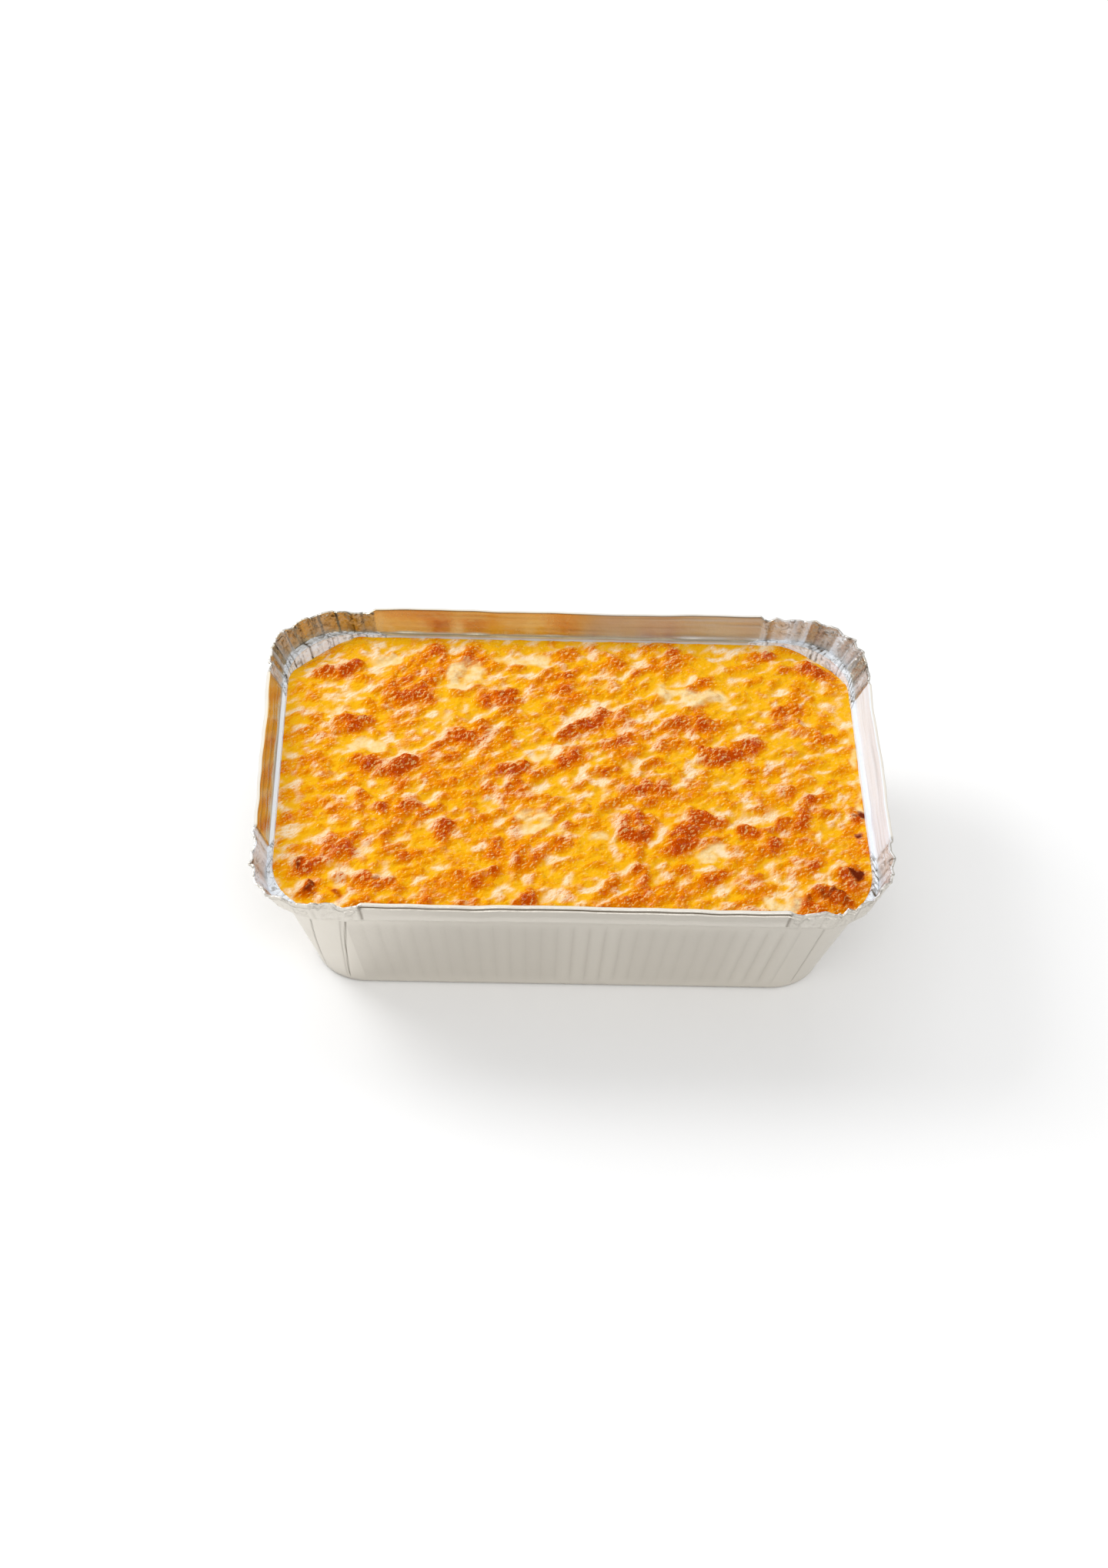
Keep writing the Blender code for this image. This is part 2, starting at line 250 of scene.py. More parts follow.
# The grains in the crust's surface
GRAIN_CELL = 1.25 * MM
GRAIN_NOISE = 1.1 * MM
# The grains are compared with themselves shifted towards the back left, for their painted light and
# shade
GRAIN_SHIFT = Vector((-0.25, 0.2, 0)) * MM
GRAIN_STRETCH = (1.25, 0.95, 1.0)

# How high the shaders' fine relief seems
FOIL_BUMP = 0.9 * MM
CRUST_BUMP = 0.9 * MM

# Colours as they look, from 0 to 255
FOIL_PLAIN = (221, 217, 210)
FOIL_RUBBED = (236, 243, 252)
# A golden tint that stands for the crust's reflection in the shiny rim: painted reflection
FOIL_CRUST_REFLECTION = (255, 224, 132)
FOIL_SHADE = (104, 92, 76)
POOL_CREAM = (243, 215, 158)
# Pale cheese, which also serves as painted highlight on far left flanks
PALE_CHEESE_AND_HIGHLIGHT = (245, 220, 184)
PALE_BROWNED_AND_HIGHLIGHT = (239, 168, 100)
# Painted highlights on each grain's far left flank
PAINTED_HIGHLIGHT = (246, 218, 150)
PAINTED_HIGHLIGHT_ON_BROWN = (243, 184, 118)
BURNT_BROWN = (118, 40, 12)
BROWNING = (
    (0.0, (239, 177, 20)),
    (0.18, (236, 157, 6)),
    (0.36, (232, 139, 0)),
    (0.54, (229, 123, 0)),
    (0.74, (223, 105, 0)),
    (1.0, (208, 78, 0)),
)

# Soft square lights, in degrees, metres and watts:
# (name, azimuth, elevation, distance, size, power)
LIGHTS = (
    ("key", 148, 34, 1.2, 0.6, 7.1),
    ("panel", 90, 46, 1.6, 1.4, 5),
    ("fill", 290, 50, 1.5, 1.0, 6.4),
)
ROOM_LIGHT = 0.6
FLOOR_HALF = 4.0
FLOOR_DROP = 0.1 * MM  # so that the floor and the tray's flat underside don't share a plane
FLOOR_GREY = 0.96

# The view
CAMERA_AIMS_AT = Vector((-4.75, 5.2, 29.2)) * MM
CAMERA_DISTANCE = 881.5 * MM
CAMERA_ELEVATION = 42.5
CAMERA_AZIMUTH = -2.553
CAMERA_ROLL = 2.844
CAMERA_LENS = 66.906


def srgb(colour):
    """A colour written as it looks, from 0 to 255, as the linear values that a shader takes."""
    share = np.array(colour) / 255
    linear = np.where(share < 0.04045, share / 12.92, ((share + 0.055) / 1.055) ** 2.4)
    return (*[float(value) for value in linear], 1.0)


def smoothstep(share):
    share = np.clip(share, 0, 1)
    return share * share * (3 - 2 * share)


# Meshes


def mesh_object(name, points, faces, look, sharp_angle):
    mesh = bpy.data.meshes.new(name)
    mesh.from_pydata(points.tolist(), [], faces)
    mesh.materials.append(look)
    mesh.shade_smooth()
    mesh.set_sharp_from_angle(angle=math.radians(sharp_angle))
    made = bpy.data.objects.new(name, mesh)
    bpy.context.scene.collection.objects.link(made)
    return made


def add_attribute(piece, name, values):
    """A number for each vertex, which the material reads by name."""
    attribute = piece.data.attributes.new(name, "FLOAT", "POINT")
    attribute.data.foreach_set("value", np.asarray(values, dtype=np.float32).ravel())


def bands(loops, count):
    """Faces between closed loops of points, each of count points, numbered one after the other."""
    start = np.arange(loops - 1)[:, None] * count + np.arange(count)[None, :]
    after = np.arange(loops - 1)[:, None] * count + (np.arange(count)[None, :] + 1) % count
    quads = np.stack((start, after, after + count, start + count), axis=-1)
    return quads.reshape(-1, 4).tolist()


# Shader helpers


def new_material(name):
    made = bpy.data.materials.new(name)
    made.use_nodes = True
    return made, made.node_tree, made.node_tree.nodes["Principled BSDF"]


def add_node(tree, kind, **values):
    node = tree.nodes.new(kind)
    for key, value in values.items():
        setattr(node, key, value)
    return node


def noise_node(tree, cell, detail, distortion=0.0):
    """Soft noise over the object, whose features are about cell across."""
    place = add_node(tree, "ShaderNodeTexCoord")
    noise = add_node(tree, "ShaderNodeTexNoise")
    noise.inputs["Scale"].default_value = 1 / cell
    noise.inputs["Detail"].default_value = detail
    noise.inputs["Distortion"].default_value = distortion
    tree.links.new(place.outputs["Object"], noise.inputs["Vector"])
    return noise.outputs["Fac"]


def calc(tree, operation, first, second=None, third=None, clamp=False):
    node = add_node(tree, "ShaderNodeMath", operation=operation, use_clamp=clamp)
    for socket, value in zip(node.inputs, (first, second, third)):
        if value is None:
            continue
        if isinstance(value, (int, float)):
            socket.default_value = value
        else:
            tree.links.new(value, socket)
    return node.outputs[0]


def ramp(tree, factor, stops):
    node = add_node(tree, "ShaderNodeValToRGB")
    elements = node.color_ramp.elements
    while len(elements) < len(stops):
        elements.new(0.5)
    for element, (position, colour) in zip(elements, stops):
        element.position = position
        element.color = colour
    tree.links.new(factor, node.inputs["Fac"])
    return node.outputs["Color"]


def mix_colour(tree, factor, first, second):
    node = add_node(tree, "ShaderNodeMix", data_type="RGBA")
    colour_inputs = [socket for socket in node.inputs if socket.type == "RGBA"]
    for socket, value in zip([node.inputs[0], *colour_inputs], (factor, first, second)):
        if isinstance(value, (int, float, tuple)):
            socket.default_value = value
        else:
            tree.links.new(value, socket)
    return [socket for socket in node.outputs if socket.type == "RGBA"][0]


def attribute(tree, name):
    return add_node(tree, "ShaderNodeAttribute", attribute_name=name).outputs["Fac"]


def bump(tree, height, distance, strength=1.0):
    node = add_node(tree, "ShaderNodeBump")
    node.inputs["Distance"].default_value = distance
    node.inputs["Strength"].default_value = strength
    tree.links.new(height, node.inputs["Height"])
    return node.outputs["Normal"]


# The foil


def outline(half_x, half_y, radius, z):
    return {"x": half_x, "y": half_y, "r": radius, "z": z}


def inset(level, by):
    radius = max(level["r"] - by, 1 * MM)
    return outline(level["x"] - by, level["y"] - by, radius, level["z"])


def wall_outline(z):
    """The tapered wall's outer face at height z."""
    share = z / (LEDGE_HEIGHT - FOIL)
    top_x = RIM_LENGTH / 2 - LEAN_ENDS - LEDGE_WIDTH + FOIL
    top_y = RIM_WIDTH / 2 - LEAN_SIDES - LEDGE_WIDTH + FOIL
    half_x = BASE_LENGTH / 2 + (top_x - BASE_LENGTH / 2) * share
    half_y = BASE_WIDTH / 2 + (top_y - BASE_WIDTH / 2) * share
    radius = BASE_RADIUS + (WALL_RADIUS - BASE_RADIUS) * share
    return outline(half_x, half_y, radius, z)


def rim_outline(z):
    """The standing rim's outer face at height z, from the ledge's edge to the top."""
    share = (z - LEDGE_HEIGHT) / (TRAY_HEIGHT - LEDGE_HEIGHT)
    half_x = RIM_LENGTH / 2 - HEM_THICKNESS - LEAN_ENDS * (1 - share)
    half_y = RIM_WIDTH / 2 - HEM_THICKNESS - LEAN_SIDES * (1 - share)
    radius = LEDGE_RADIUS + (RIM_RADIUS - HEM_THICKNESS - LEDGE_RADIUS) * share
    return outline(half_x, half_y, radius, z)


def walk(long_steps, short_steps, corner_steps):
    """Upright columns round the tray: turn counts sides and corners from 0 to 8."""
    turn = []
    for side in range(4):
        steps = long_steps if side % 2 else short_steps
        turn.append(2 * side + np.arange(steps) / steps)
        turn.append(2 * side + 1 + np.arange(corner_steps) / corner_steps)
    turn = np.concatenate(turn)
    side = (turn // 2).astype(int)
    along = np.minimum(turn - 2 * side, 1)
    round_corner = np.maximum(turn - 2 * side - 1, 0)
    start = np.array(((1, -1), (1, 1), (-1, 1), (-1, -1)))[side]
    end = np.array(((1, 1), (-1, 1), (-1, -1), (1, -1)))[side]
    corner = start + (end - start) * along[:, None]
    angle = (side + round_corner) * math.pi / 2
    past_x = (1 - np.abs(corner[:, 0])) * (RIM_LENGTH / 2 - RIM_RADIUS)
    past_y = (1 - np.abs(corner[:, 1])) * (RIM_WIDTH / 2 - RIM_RADIUS)
    return {
        "turn": turn,
        "along": along,
        "side": side,
        "corner_x": corner[:, 0],
        "corner_y": corner[:, 1],
        "cos": np.cos(angle),
        "sin": np.sin(angle),
        "past": np.maximum(past_x, past_y),
        "straight": round_corner == 0,
    }


def solid_pleats():
    """The push and dip of each of the solid's columns, by the same seeded rule."""
    columns = walk(2 * RIBS_LONG, 2 * RIBS_SHORT, CORNER_STEPS)
    draw = random.Random(PLEAT_SEED)
    side = 1
    pushes, dips = [], []
    for past in columns["past"]:
        if draw.random() < PLEAT_TURN:
            side = -side
        push = side * draw.uniform(0.3, 1) * PLEAT_DEPTH
        dip = PLEAT_DROP + draw.random() ** 2 * PLEAT_DIP
        pushes.append(push if past < PLEAT_RUN else 0.0)
        dips.append(dip if past < PLEAT_RUN else 0.0)
    return columns["turn"], pushes, dips


def random_folds(where, width, seed):
    """Sharp little folds: a zigzag of uneven width and height, from -1 to 1."""
    draw = random.Random(seed)
    knots, heights = [where[0]], [0.0]
    side = 1
    while knots[-1] < where[-1]:
        knots.append(knots[-1] + width * draw.uniform(0.5, 1.7))
        side = -side
        heights.append(side * draw.uniform(0.15, 1))
    return np.interp(where, knots, heights)


def facets(where, widths, seed):
    """Pleats folded flat: uneven slopes from -1 to 1 that jump at seams, and 1 at the seams."""
    draw = random.Random(seed)
    knots, heights, seams = [where[0]], [0.0], []
    while knots[-1] < where[-1]:
        here = knots[-1] + draw.uniform(*widths)
        seams.append(here)
        knots += [here, here + FOLD_WIDTH]
        heights += [draw.uniform(-1, 1), draw.uniform(-1, 1)]
    away = np.abs(where[:, None] - np.array(seams)[None, :] - FOLD_WIDTH / 2).min(axis=1)
    strength = 0.4 + 0.6 * np.abs(np.interp(where, knots, heights))
    return np.interp(where, knots, heights), np.clip(1.1 - away / FOLD_WIDTH, 0, 1) * strength


def waves(where, width, seed):
    """A soft random wave along a line, from about -1 to 1."""
    draw = random.Random(seed)
    total = np.zeros_like(where)
    for _ in range(7):
        pitch = width * draw.uniform(0.6, 1.8)
        total += np.sin(where * 2 * math.pi / pitch + draw.uniform(0, 6.3))
    return total / 3.5


def foil_levels():
    """The foil's section, from the middle of the underside up the outside and down the inside.

    Each level has an outline, the shares of a rib, a pleat, the folded hem and so on that show
    there, and whether it is outside.
    """
    levels = []

    def add(level, rib=0.0, pleat=0.0, hem=0.0, wrinkle=0.0, crinkle=0.0, roll=0.0, line=0.0):
        shares = {"rib": rib, "pleat": pleat, "hem": hem, "wrinkle": wrinkle, "crinkle": crinkle}
        levels.append({**level, **shares, "roll": roll, "line": line, "outside": outside})

    outside = True
    foot = wall_outline(FOOT_BEVEL)
    flat = inset(foot, FOOT_BEVEL)
    for by in (44, 30, 16, 7, 2, 0):
        level = inset(flat, by * MM)
        level["z"] = 0.0
        add(level)
    for step in (1, 2, 3):
        turn = math.radians(30 * step)
        level = inset(foot, FOOT_BEVEL * (1 - math.sin(turn)))
        level["z"] = FOOT_BEVEL * (1 - math.cos(turn))
        add(level)
    wall_top = LEDGE_HEIGHT - FOIL
    for z in np.linspace(FOOT_BEVEL, wall_top, 17)[1:-1]:
        up = smoothstep((z - FOOT_BEVEL) / RIB_FADE)
        down = smoothstep((wall_top - FOOT_BEVEL - z) / RIB_FADE)
        add(wall_outline(z), rib=float(up * down), crinkle=1.0)
    add(wall_outline(wall_top - 0.3 * MM), crinkle=0.5)
    soft = inset(wall_outline(wall_top), -0.3 * MM)
    add(soft)
    ledge_edge = rim_outline(LEDGE_HEIGHT)
    under = inset(ledge_edge, 0.3 * MM)
    under["z"] = wall_top
    add(under, pleat=0.3)
    for height, pleat, hem in RIM_RISE:
        level = rim_outline(LEDGE_HEIGHT + height * MM)
        # Under the hem's bead the foil gets a dark line: painted shade
        line = 1.0 if 6.1 < height < 7.1 else 0.0
        add(level, pleat=pleat, hem=hem, crinkle=1.0, line=line)
    outside = False
    top = inset(rim_outline(TRAY_HEIGHT), 0.15 * MM)
    add(top, pleat=1.0)
    # And down its inner face
    for height in np.linspace(7.9, 0.5, 17):
        level = inset(rim_outline(LEDGE_HEIGHT + height * MM), FOIL)
        pleat = float(np.interp(height, (0.5, 6, 7.2), (0.32, 0.8, 1)))
        # A fainter line of painted shade runs along the inside's top edge
        line = 0.5 if height > 7.6 else 0.0
        wrinkle = 0.3 if height < 3 else 0.0
        add(level, pleat=pleat, crinkle=1.0, wrinkle=wrinkle, roll=1.0, line=line)
    ledge_inner = inset(wall_outline(LEDGE_HEIGHT), FOIL)
    ledge_outer = inset(ledge_edge, FOIL)
    for share in (0.1, 0.35, 0.6, 0.85, 1.0):
        level = {}
        for key in "xyrz":
            level[key] = ledge_outer[key] + (ledge_inner[key] - ledge_outer[key]) * share
        add(level, wrinkle=1.0)
    for z in (38.6, 38.0, 37.2, 36, 34, 31, 20, 3):
        add(inset(wall_outline(z * MM), FOIL), crinkle=0.3, wrinkle=0.9 if z > 33 else 0.0)
    floor = inset(foot, FOIL + FOOT_BEVEL)
    floor["z"] = FOIL
    for by in (0, 20, 40):
        add(inset(floor, by * MM))
    return levels


def foil_columns():
    """The columns round the tray, with their places on the rim."""
    columns = walk(COLUMNS_PER_RIB * RIBS_LONG, COLUMNS_PER_RIB * RIBS_SHORT, CORNER_COLUMNS)
    rim = rim_outline(TRAY_HEIGHT)
    rim_x = columns["corner_x"] * (rim["x"] - rim["r"]) + rim["r"] * columns["cos"]
    rim_y = columns["corner_y"] * (rim["y"] - rim["r"]) + rim["r"] * columns["sin"]
    steps = np.hypot(np.diff(rim_x), np.diff(rim_y))
    columns["gathered"] = 1 - smoothstep((columns["past"] - PLEAT_RUN) / (0.8 * MM))
    columns["rim_x"] = rim_x
    columns["at_front"] = rim_y < 0
    columns["at_back"] = columns["sin"] > 0.5
    columns["length"] = np.concatenate(((0,), np.cumsum(steps)))
    return columns


def rim_folds(columns):
    """How far each column is pushed out and let down at the rim, and where the seams are."""
    turn, length, gathered = (columns[key] for key in ("turn", "length", "gathered"))
    solid_turn, pushes, dips = solid_pleats()
    push = np.interp(turn, solid_turn, pushes, period=8)
    dip = np.interp(turn, solid_turn, dips, period=8)
    round_corner = np.maximum(turn - 2 * columns["side"] - 1, 0)
    push += np.array(CORNER_BULGES)[columns["side"]] * np.sin(math.pi * round_corner)
    folds, seams = facets(length, FACET_WIDTHS, 21)
    push = 0.75 * push + FOLD_PUSH * folds * gathered
    dip += (FACET_DIP * facets(length, FACET_WIDTHS, 27)[0] + FOLD_DIP * folds) * gathered
    return push, dip, seams


def rib_crests(columns):
    """The wall's ribs, each a full round crest between two narrow valleys, fainter to the left."""
    ribs = np.where(columns["side"] % 2 == 1, RIBS_LONG, RIBS_SHORT)
    crest = np.abs(np.sin(math.pi * columns["along"] * ribs)) ** 0.7 * columns["straight"]
    crest *= np.clip(0.7 + 0.4 * waves(columns["length"], 40 * MM, 26), 0.2, 1.1)
    crest *= 0.25 + 0.75 * smoothstep(0.95 + columns["rim_x"] / RIM_LENGTH * 2.4)
    return crest


def rim_wear(columns):
    """How dull, how much darkened and how strongly rolled the rim's inside is.

    It is bright on the left and rubbed dull towards the right and at the front corners.
    """
    gathered, rim_x, at_back = (columns[key] for key in ("gathered", "rim_x", "at_back"))
    to_right = np.clip(0.5 + rim_x / RIM_LENGTH * 1.05, 0, 1)
    half_way = smoothstep(rim_x / RIM_LENGTH * 8 + 0.4)
    dull = np.where(at_back, 0.66 * half_way, 1.2 * to_right**3)
    dull_corner = np.where(columns["at_front"], 0.8, 0.5 + 0.3 * (rim_x > 0))
    dull = dull * (1 - gathered) + dull_corner * gathered
    # The rim's inside is darker where it is shiny, and along the back towards the right
    rim_darkening = 0.25 * (1 - np.clip(dull, 0, 1)) + 0.2 * half_way * at_back * (1 - gathered)
    rolled = 0.02 + 0.06 * np.maximum(np.abs(columns["cos"]), to_right**2)
    rolled *= 1 - 0.8 * gathered
    # Each flat pleat in a corner has a tone of its own
    tones = facets(columns["length"], FACET_WIDTHS, 33)[0] * gathered
    dull = np.maximum(dull, 0.2) + 0.4 * tones
    rim_darkening += 0.3 * np.clip(0.5 - tones, 0, 1) * gathered
    return dull, rim_darkening, rolled


def crease_depths(columns, z):
    """How deep the wall is creased at height z, column by column."""
    turn, length = columns["turn"], columns["length"]
    creased = np.zeros_like(turn)
    for foot, top, depth in WALL_CREASES:
        place = foot + (top - foot) * z / LEDGE_HEIGHT
        away = np.abs(length - np.interp(place, turn, length))
        creased += depth * np.clip(1 - away / CREASE_HALF_WIDTH, 0, 1)
    return creased


def build_foil(look):
    """The foil's mesh, with how crumpled, shaded and dull it is at each vertex."""
    columns = foil_columns()
    turn, length, gathered = (columns[key] for key in ("turn", "length", "gathered"))
    at_front, at_back = columns["at_front"], columns["at_back"]
    push, dip, seams = rim_folds(columns)
    crest = rib_crests(columns)
    dull_column, rim_darkening, rolled = rim_wear(columns)
    wobble = waves(length, 60 * MM, 23)
    dents = waves(length, 16 * MM, 24)
    wrinkle = random_folds(length, WRINKLE_WIDTH, 25) * gathered
    from_end = np.abs(columns["past"] - PLEAT_RUN - 0.4 * MM)
    flap_end = np.clip(1 - from_end / (0.6 * MM), 0, 1)
    points, crinkle, shade, dull = [], [], [], []
    levels = foil_levels()
    for number, level in enumerate(levels):
        out = RIB_DEPTH * level["rib"] * crest + push * level["pleat"]
        out += HEM_THICKNESS * level["hem"] * (1 - 0.5 * gathered)
        out += DENT_DEPTH * level["crinkle"] * dents * (1 - gathered)
        out += WOBBLE_DEPTH * level["pleat"] * wobble
        if level["roll"]:
            # Lines rolled into the rim's inside, each coming and going along its length
            lines = waves(length, 90 * MM, 200 + number)
            out += rolled * MM * lines
        creased = crease_depths(columns, level["z"]) if level["rib"] > 0 else np.zeros_like(turn)
        out -= creased
        straight_x = level["x"] - level["r"]
        straight_y = level["y"] - level["r"]
        x = columns["corner_x"] * straight_x + (level["r"] + out) * columns["cos"]
        y = columns["corner_y"] * straight_y + (level["r"] + out) * columns["sin"]
        z = level["z"] - dip * level["pleat"] + WRINKLE_HEIGHT * level["wrinkle"] * wrinkle
        points.append(np.stack((x, y, z), axis=-1))
        crumpled = max(level["pleat"], level["wrinkle"]) * (0.65 if level["outside"] else 1)
        crinkle.append(0.1 + 0.9 * gathered * crumpled)
        # Shadow lies in the folds' bottoms, in the creases and between the ribs
        in_fold = np.clip(0.55 + 0.5 * waves(length, 5 * MM, 300 + number), 0, 1)
        in_fold *= 0.7 * seams * gathered * (level["pleat"] > 0.3)
        if level["outside"]:
            in_fold *= np.where(at_front, 0.7, 0.8)
            # Painted shade at the flap's ends; the flap is also a little darker all along
            in_fold += (0.7 * flap_end + 0.1 * (1 - gathered)) * (level["hem"] > 0.4)
        in_wrinkle = np.clip(-1.5 * wrinkle - 0.4, 0, 1) * level["wrinkle"]
        between = 0.12 * level["rib"] * (1 - crest) * columns["straight"]
        creases = np.clip(creased / CREASE_DARKEST, 0, 0.9)
        # The dark lines under the hem's bead and at the inside's top edge are painted shade
        band_shade_and_streaks = level["line"] * (1 - gathered)
        if level["roll"]:
            streaked = 5 * rolled * np.clip(lines, 0, 1)
            streaked = streaked * (1 - 0.4 * np.clip(dull_column, 0, 1))
            # The rim's inside also takes its darkening and its rolled streaks
            band_shade_and_streaks = band_shade_and_streaks * at_back + rim_darkening + streaked
        elif level["wrinkle"]:
            # The ledge behind the food lies in the rim's shadow
            band_shade_and_streaks = 0.35 * at_back * (1 - gathered)
        shade.append(np.clip(in_fold + in_wrinkle + between + creases + band_shade_and_streaks, 0, 1))
        # The rim's inside, the wall just over the food, the ledge, and all the rest
        if level["roll"]:
            dull.append(dull_column)
        elif level["z"] < LEDGE_HEIGHT and level["wrinkle"]:
            dull.append(np.full_like(turn, 1.3))
        elif level["wrinkle"]:
            dull.append(np.where(at_back & (gathered < 0.5), 0.45, 0.95))
        else:
            dull.append(np.full_like(turn, 0.55))
    count = len(turn)
    faces = bands(len(levels), count)
    # The two caps, under the tray and on its floor
    faces.append(list(range(count))[::-1])
    faces.append([(len(levels) - 1) * count + i for i in range(count)])
    foil = mesh_object("foil_tray", np.concatenate(points), faces, look, SHARP_FOLD)
    add_attribute(foil, "crinkle", np.concatenate(crinkle))
    add_attribute(foil, "shade", np.concatenate(shade))
    add_attribute(foil, "dull", np.concatenate(dull))
    return foil


def foil_material():
    made, tree, shader = new_material("thin foil")
    dull = attribute(tree, "dull")
    rubbed = calc(tree, "MULTIPLY_ADD", dull, 1.8, -1.0, clamp=True)
    plain = mix_colour(tree, rubbed, srgb(FOIL_PLAIN), srgb(FOIL_RUBBED))
    # Painted reflection of the orange crust: the rim's inside is tinted golden where it isn't
    # rubbed
    crust_reflection_share = calc(tree, "MULTIPLY_ADD", dull, -1.3, 0.75, clamp=True)
    plain = mix_colour(tree, crust_reflection_share, plain, srgb(FOIL_CRUST_REFLECTION))
    # Crumpled foil is mottled with small shadows
    crinkle = attribute(tree, "crinkle")
    crumple = noise_node(tree, 2.4 * MM, detail=3, distortion=1.5)
    crumple = calc(tree, "MULTIPLY_ADD", crumple, 7.0, -3.6, clamp=True)
    share = calc(tree, "MULTIPLY_ADD", crinkle, 0.75, -0.15, clamp=True)
    crumple = calc(tree, "MULTIPLY", crumple, share)
    shaded = calc(tree, "ADD", attribute(tree, "shade"), crumple, clamp=True)
    colour = mix_colour(tree, shaded, plain, srgb(FOIL_SHADE))
    tree.links.new(colour, shader.inputs["Base Color"])
    # Rubbed foil scatters light as a matt surface does
    metallic = calc(tree, "MULTIPLY_ADD", dull, -1.1, 1.6, clamp=True)
    tree.links.new(metallic, shader.inputs["Metallic"])
    soft = noise_node(tree, 6 * MM, detail=3)
    roughness = calc(tree, "MULTIPLY_ADD", soft, 0.12, 0.12)
    roughness = calc(tree, "MULTIPLY_ADD", dull, 0.4, roughness)
    tree.links.new(roughness, shader.inputs["Roughness"])
    fine = noise_node(tree, 1.8 * MM, detail=3)
    height = calc(tree, "MULTIPLY", fine, crinkle)
    normal = bump(tree, height, FOIL_BUMP, 0.9)
    tree.links.new(normal, shader.inputs["Normal"])
    return made


# The crust's maps: flat grids of numbers, from which the mesh takes its height and its browning


def map_grid():
    xs = np.arange(-MAP_HALF_X, MAP_HALF_X, MAP_CELL)
    ys = np.arange(-MAP_HALF_Y, MAP_HALF_Y, MAP_CELL)
    return np.meshgrid(xs, ys, indexing="ij")


def sample(field, x, y):
    """The map's value at any place, between its points by straight lines."""
    across = np.clip((x + MAP_HALF_X) / MAP_CELL, 0, field.shape[0] - 1.001)
    up = np.clip((y + MAP_HALF_Y) / MAP_CELL, 0, field.shape[1] - 1.001)
    i, j = across.astype(int), up.astype(int)
    s, t = across - i, up - j
    low = field[i, j] * (1 - s) + field[i + 1, j] * s
    high = field[i, j + 1] * (1 - s) + field[i + 1, j + 1] * s
    return low * (1 - t) + high * t


def blur(field, along, across=None, turn=0.0):
    """Smooths a map, by different distances along and across a direction if two are given."""
    across = along if across is None else across
    fx = np.fft.fftfreq(field.shape[0], MAP_CELL)[:, None]
    fy = np.fft.rfftfreq(field.shape[1], MAP_CELL)[None, :]
    cos, sin = math.cos(math.radians(turn)), math.sin(math.radians(turn))
    spread = (along * (fx * cos + fy * sin)) ** 2 + (across * (fy * cos - fx * sin)) ** 2
    fade = np.exp(-2 * math.pi**2 * spread)
    return np.fft.irfft2(np.fft.rfft2(field) * fade, field.shape)


def grain(shape, seed, along, across=None, turn=0.0):
    """Random soft spots or streaks, with a spread of 1."""
    rough = np.random.default_rng(seed).standard_normal(shape)
    soft = blur(rough, along, across, turn)
    return soft / soft.std()


def capsule(x, y, cx, cy, length, width, turn, bend=0.0):
    """Distance from a bent capsule's spine, 1 at its outline."""
    cos, sin = math.cos(math.radians(turn)), math.sin(math.radians(turn))
    along = (x - cx) * cos + (y - cy) * sin
    across = -(x - cx) * sin + (y - cy) * cos
    across = across - bend * along**2
    over_end = np.maximum(np.abs(along) - (length - width) / 2, 0)
    return np.hypot(over_end, across) / (width / 2)


def window(grid, cx, cy, reach):
    """The part of the map within reach of a place, and the two grids' values there."""
    low_i = max(int((cx - reach + MAP_HALF_X) / MAP_CELL), 0)
    low_j = max(int((cy - reach + MAP_HALF_Y) / MAP_CELL), 0)
    high_i = int((cx + reach + MAP_HALF_X) / MAP_CELL) + 2
    high_j = int((cy + reach + MAP_HALF_Y) / MAP_CELL) + 2
    part = (slice(low_i, high_i), slice(low_j, high_j))
    return part, grid[0][part], grid[1][part]


def warped(grid):
    """The map's own coordinates, pushed about a little, so that what is drawn on them is uneven."""
    shape = grid[0].shape
    moved = []
    for axis, seed in zip(grid, (41, 43)):
        broad = 1.1 * MM * grain(shape, seed, 3.0 * MM)
        narrow = 0.45 * MM * grain(shape, seed + 1, 1.1 * MM)
        moved.append(axis + (broad + narrow))
    return moved


def solid_shreds():
    """The solid's larger shreds of cheese, by the same seeded rule."""
    draw = random.Random(SHRED_SEED)
    half_x = RIM_LENGTH / 2 - SHRED_MARGIN
    half_y = RIM_WIDTH / 2 - SHRED_MARGIN
    made = []
    for _ in range(SHREDS):
        cx, cy = draw.uniform(-half_x, half_x), draw.uniform(-half_y, half_y)
        length = draw.uniform(*SHRED_LENGTHS)
        width = draw.uniform(*SHRED_WIDTHS)
        turn = draw.gauss(SHRED_TURN, SHRED_SPREAD)
        made.append((cx, cy, length, width, turn, draw.uniform(*SHRED_HEIGHTS)))
    return made


def form_map(grid):
    """Height of the mounds and large shreds over the smooth crust, as the solid has them."""
    total = np.zeros_like(grid[0])
    mounds = [(*[value * MM for value in m[:4]], m[4], m[5] * MM) for m in MOUNDS]
    for cx, cy, length, width, turn, height in mounds + solid_shreds():
        part, x, y = window(grid, cx, cy, length + WARP_REACH)
        distance = capsule(x, y, cx, cy, length, width, turn)
        rise = height * np.clip(1 - distance**2, 0, 1) ** MOUND_FULLNESS
        total[part] += (rise / MM) ** BLEND_POWER
    x, y = grid
    swell = np.sin(x / WAVE_X + np.sin(y / WAVE_BEND)) * np.cos(y / WAVE_Y)
    return total ** (1 / BLEND_POWER) * MM + UNDULATION * swell


